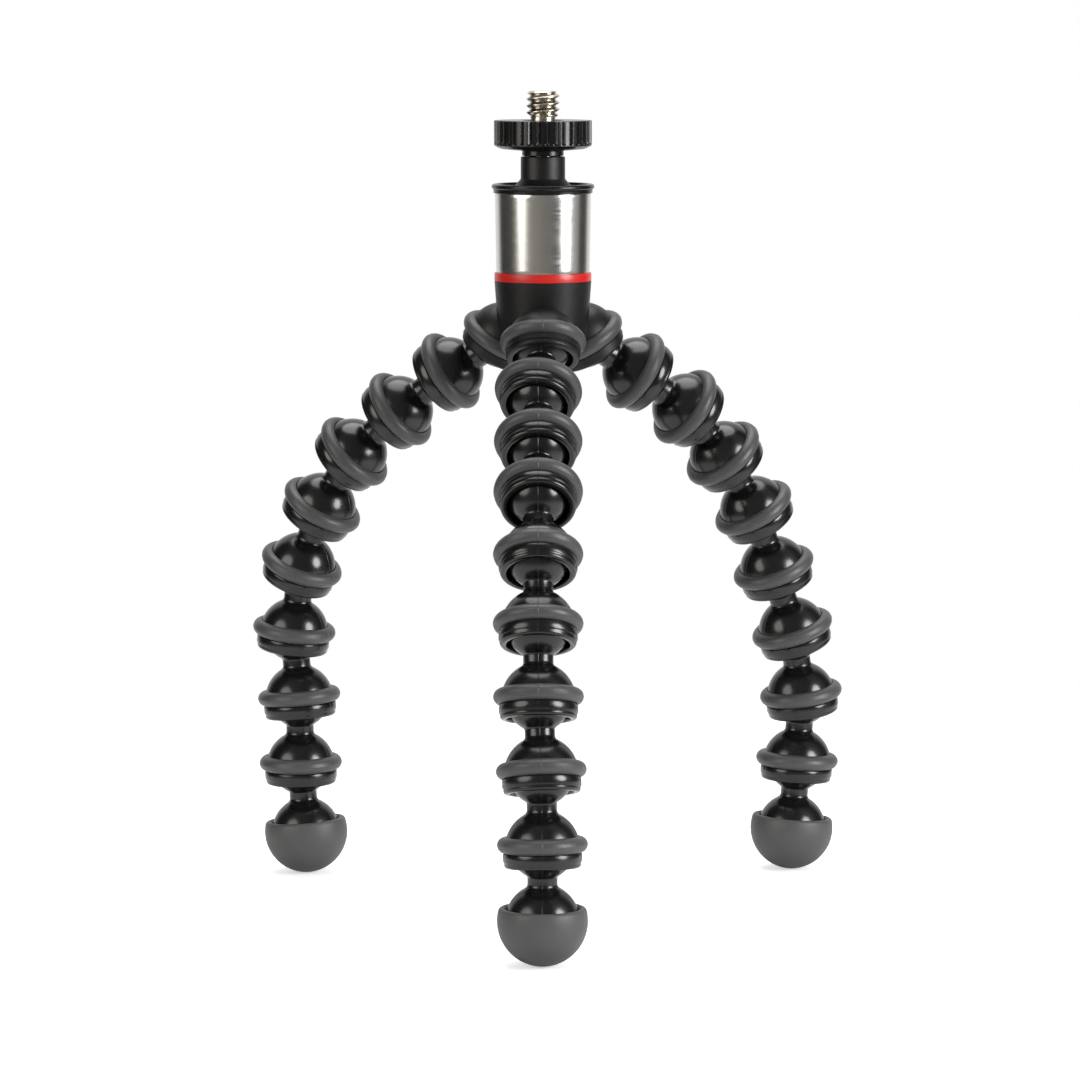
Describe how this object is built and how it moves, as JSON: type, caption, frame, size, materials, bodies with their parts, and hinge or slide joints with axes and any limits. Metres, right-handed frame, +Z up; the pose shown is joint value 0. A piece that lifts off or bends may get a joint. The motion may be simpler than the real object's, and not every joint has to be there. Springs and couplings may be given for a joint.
{
  "type": "flexible leg tripod",
  "caption": "Small tabletop tripod with bendable legs of ball and socket links, rubber grip rings and feet, a steel sleeved neck and a thumb wheel camera screw.",
  "frame": {"origin": "on the floor the feet stand on, under the neck axis", "axes": "+Z up along the camera screw, -Y towards the front leg, +X to the right leg's side as seen from the front"},
  "size_m": [0.1176, 0.1096, 0.1562],
  "materials": {
    "gloss_black": "glossy moulded plastic",
    "satin_black": "fine satin moulded plastic",
    "grip_rubber": "satin dark grey rubber",
    "sleeve_steel": "brushed along the tube, clear",
    "screw_steel": "turned bright steel",
    "red_accent": "semi gloss moulded plastic"
  },
  "bodies": {
    "hub": {"hub_body": "satin_black", "socket_grips": "grip_rubber", "steel_sleeve": "sleeve_steel", "accent_band": "red_accent", "head_cap": "satin_black", "head_post": "satin_black"},
    "thumb_screw": {"thumb_wheel": "satin_black", "mounting_screw": "screw_steel", "retaining_clip": "screw_steel"},
    "left_link_1": {"left_link_1": "gloss_black", "left_grip_1": "grip_rubber"},
    "left_link_2": {"left_link_2": "gloss_black", "left_grip_2": "grip_rubber"},
    "left_link_3": {"left_link_3": "gloss_black", "left_grip_3": "grip_rubber"},
    "left_link_4": {"left_link_4": "gloss_black", "left_grip_4": "grip_rubber"},
    "left_link_5": {"left_link_5": "gloss_black", "left_grip_5": "grip_rubber"},
    "left_link_6": {"left_link_6": "gloss_black", "left_grip_6": "grip_rubber"},
    "left_link_7": {"left_link_7": "gloss_black", "left_grip_7": "grip_rubber"},
    "left_link_8": {"left_link_8": "gloss_black", "left_grip_8": "grip_rubber"},
    "left_foot_link": {"left_foot": "grip_rubber"},
    "right_link_1": {"right_link_1": "gloss_black", "right_grip_1": "grip_rubber"},
    "right_link_2": {"right_link_2": "gloss_black", "right_grip_2": "grip_rubber"},
    "right_link_3": {"right_link_3": "gloss_black", "right_grip_3": "grip_rubber"},
    "right_link_4": {"right_link_4": "gloss_black", "right_grip_4": "grip_rubber"},
    "right_link_5": {"right_link_5": "gloss_black", "right_grip_5": "grip_rubber"},
    "right_link_6": {"right_link_6": "gloss_black", "right_grip_6": "grip_rubber"},
    "right_link_7": {"right_link_7": "gloss_black", "right_grip_7": "grip_rubber"},
    "right_link_8": {"right_link_8": "gloss_black", "right_grip_8": "grip_rubber"},
    "right_foot_link": {"right_foot": "grip_rubber"},
    "front_link_1": {"front_link_1": "gloss_black", "front_grip_1": "grip_rubber"},
    "front_link_2": {"front_link_2": "gloss_black", "front_grip_2": "grip_rubber"},
    "front_link_3": {"front_link_3": "gloss_black", "front_grip_3": "grip_rubber"},
    "front_link_4": {"front_link_4": "gloss_black", "front_grip_4": "grip_rubber"},
    "front_link_5": {"front_link_5": "gloss_black", "front_grip_5": "grip_rubber"},
    "front_link_6": {"front_link_6": "gloss_black", "front_grip_6": "grip_rubber"},
    "front_link_7": {"front_link_7": "gloss_black", "front_grip_7": "grip_rubber"},
    "front_link_8": {"front_link_8": "gloss_black", "front_grip_8": "grip_rubber"},
    "front_foot_link": {"front_foot": "grip_rubber"}
  },
  "joints": [
    {"name": "thumb_wheel_turn", "type": "hinge", "parent": "hub", "child": "thumb_screw", "pos_m": [0, 0, 0.14373], "axis": [0, 0, 1], "continuous": true},
    {"name": "left_curl_1", "type": "hinge", "parent": "hub", "child": "left_link_1", "pos_m": [-0.00779, 0.0045, 0.10878], "axis": [-0.3746, -0.9272, 0], "range_deg": [0, 26]},
    {"name": "left_sway_2", "type": "hinge", "parent": "left_link_1", "child": "left_link_2", "pos_m": [-0.01833, 0.00876, 0.10168], "axis": [-0.537, 0.2391, 0.809], "range_deg": [-25, 28]},
    {"name": "left_curl_3", "type": "hinge", "parent": "left_link_2", "child": "left_link_3", "pos_m": [-0.02823, 0.01317, 0.0938], "axis": [-0.4226, -0.9063, 0], "range_deg": [-32, 22]},
    {"name": "left_sway_4", "type": "hinge", "parent": "left_link_3", "child": "left_link_4", "pos_m": [-0.0374, 0.01744, 0.08501], "axis": [-0.7106, 0.427, 0.5592], "range_deg": [-18, 28]},
    {"name": "left_curl_5", "type": "hinge", "parent": "left_link_4", "child": "left_link_5", "pos_m": [-0.04382, 0.0213, 0.0739], "axis": [-0.6293, -0.7771, 0], "range_deg": [-36, 17]},
    {"name": "left_sway_6", "type": "hinge", "parent": "left_link_5", "child": "left_link_6", "pos_m": [-0.04806, 0.02473, 0.06166], "axis": [-0.821, 0.5538, 0.1392], "range_deg": [-24, 20]},
    {"name": "left_curl_7", "type": "hinge", "parent": "left_link_6", "child": "left_link_7", "pos_m": [-0.0496, 0.02577, 0.04839], "axis": [-0.5, -0.866, 0], "range_deg": [-40, 14]},
    {"name": "left_sway_8", "type": "hinge", "parent": "left_link_7", "child": "left_link_8", "pos_m": [-0.04859, 0.02519, 0.03504], "axis": [-0.8659, 0.4999, -0.0175], "range_deg": [-27, 27]},
    {"name": "left_curl_9", "type": "hinge", "parent": "left_link_8", "child": "left_foot_link", "pos_m": [-0.04839, 0.02507, 0.02165], "axis": [-0.5, -0.866, 0], "range_deg": [-31, 23]},
    {"name": "right_curl_1", "type": "hinge", "parent": "hub", "child": "right_link_1", "pos_m": [0.00779, 0.0045, 0.10878], "axis": [-0.3746, 0.9272, 0], "range_deg": [0, 26]},
    {"name": "right_sway_2", "type": "hinge", "parent": "right_link_1", "child": "right_link_2", "pos_m": [0.01833, 0.00876, 0.10168], "axis": [0.4937, 0.2625, 0.829], "range_deg": [-32, 22]},
    {"name": "right_curl_3", "type": "hinge", "parent": "right_link_2", "child": "right_link_3", "pos_m": [0.02814, 0.01397, 0.09419], "axis": [-0.5592, 0.829, 0], "range_deg": [-39, 14]},
    {"name": "right_sway_4", "type": "hinge", "parent": "right_link_3", "child": "right_link_4", "pos_m": [0.03572, 0.01908, 0.08439], "axis": [0.7112, 0.4444, 0.5446], "range_deg": [-24, 27]},
    {"name": "right_curl_5", "type": "hinge", "parent": "right_link_4", "child": "right_link_5", "pos_m": [0.0419, 0.02295, 0.07315], "axis": [-0.6018, 0.7986, 0], "range_deg": [-37, 17]},
    {"name": "right_sway_6", "type": "hinge", "parent": "right_link_5", "child": "right_link_6", "pos_m": [0.04609, 0.0261, 0.06081], "axis": [0.8055, 0.484, 0.342], "range_deg": [-25, 29]},
    {"name": "right_curl_7", "type": "hinge", "parent": "right_link_6", "child": "right_link_7", "pos_m": [0.05001, 0.02846, 0.04822], "axis": [-0.5, 0.866, 0], "range_deg": [-38, 16]},
    {"name": "right_sway_8", "type": "hinge", "parent": "right_link_7", "child": "right_link_8", "pos_m": [0.05183, 0.02951, 0.03499], "axis": [0.8639, 0.4988, -0.0698], "range_deg": [-24, 24]},
    {"name": "right_curl_9", "type": "hinge", "parent": "right_link_8", "child": "right_foot_link", "pos_m": [0.05102, 0.02904, 0.02162], "axis": [-0.5, 0.866, 0], "range_deg": [-28, 26]},
    {"name": "front_curl_1", "type": "hinge", "parent": "hub", "child": "front_link_1", "pos_m": [0, -0.009, 0.10878], "axis": [0.9962, -0.0872, 0], "range_deg": [-9, 26]},
    {"name": "front_sway_2", "type": "hinge", "parent": "front_link_1", "child": "front_link_2", "pos_m": [-0.00089, -0.01923, 0.10017], "axis": [0, -0.6428, 0.766], "range_deg": [-31, 23]},
    {"name": "front_curl_3", "type": "hinge", "parent": "front_link_2", "child": "front_link_3", "pos_m": [-0.00089, -0.02949, 0.09155], "axis": [1, 0, 0], "range_deg": [-25, 29]},
    {"name": "front_sway_4", "type": "hinge", "parent": "front_link_3", "child": "front_link_4", "pos_m": [-0.00089, -0.04005, 0.08331], "axis": [0, -0.7986, 0.6018], "range_deg": [-23, 23]},
    {"name": "front_curl_5", "type": "hinge", "parent": "front_link_4", "child": "front_link_5", "pos_m": [-0.00089, -0.04811, 0.0726], "axis": [1, 0, 0], "range_deg": [-37, 17]},
    {"name": "front_sway_6", "type": "hinge", "parent": "front_link_5", "child": "front_link_6", "pos_m": [-0.00089, -0.0542, 0.06066], "axis": [0.0167, -0.9562, 0.2924], "range_deg": [-26, 25]},
    {"name": "front_curl_7", "type": "hinge", "parent": "front_link_6", "child": "front_link_7", "pos_m": [-0.00083, -0.05811, 0.04785], "axis": [0.9903, 0.1392, 0], "range_deg": [-28, 26]},
    {"name": "front_sway_8", "type": "hinge", "parent": "front_link_7", "child": "front_link_8", "pos_m": [-0.00031, -0.06177, 0.03497], "axis": [0.1384, -0.9848, 0.1045], "range_deg": [-25, 25]},
    {"name": "front_curl_9", "type": "hinge", "parent": "front_link_8", "child": "front_foot_link", "pos_m": [-0.00012, -0.06316, 0.02164], "axis": [1, 0, 0], "range_deg": [-31, 23]}
  ]
}
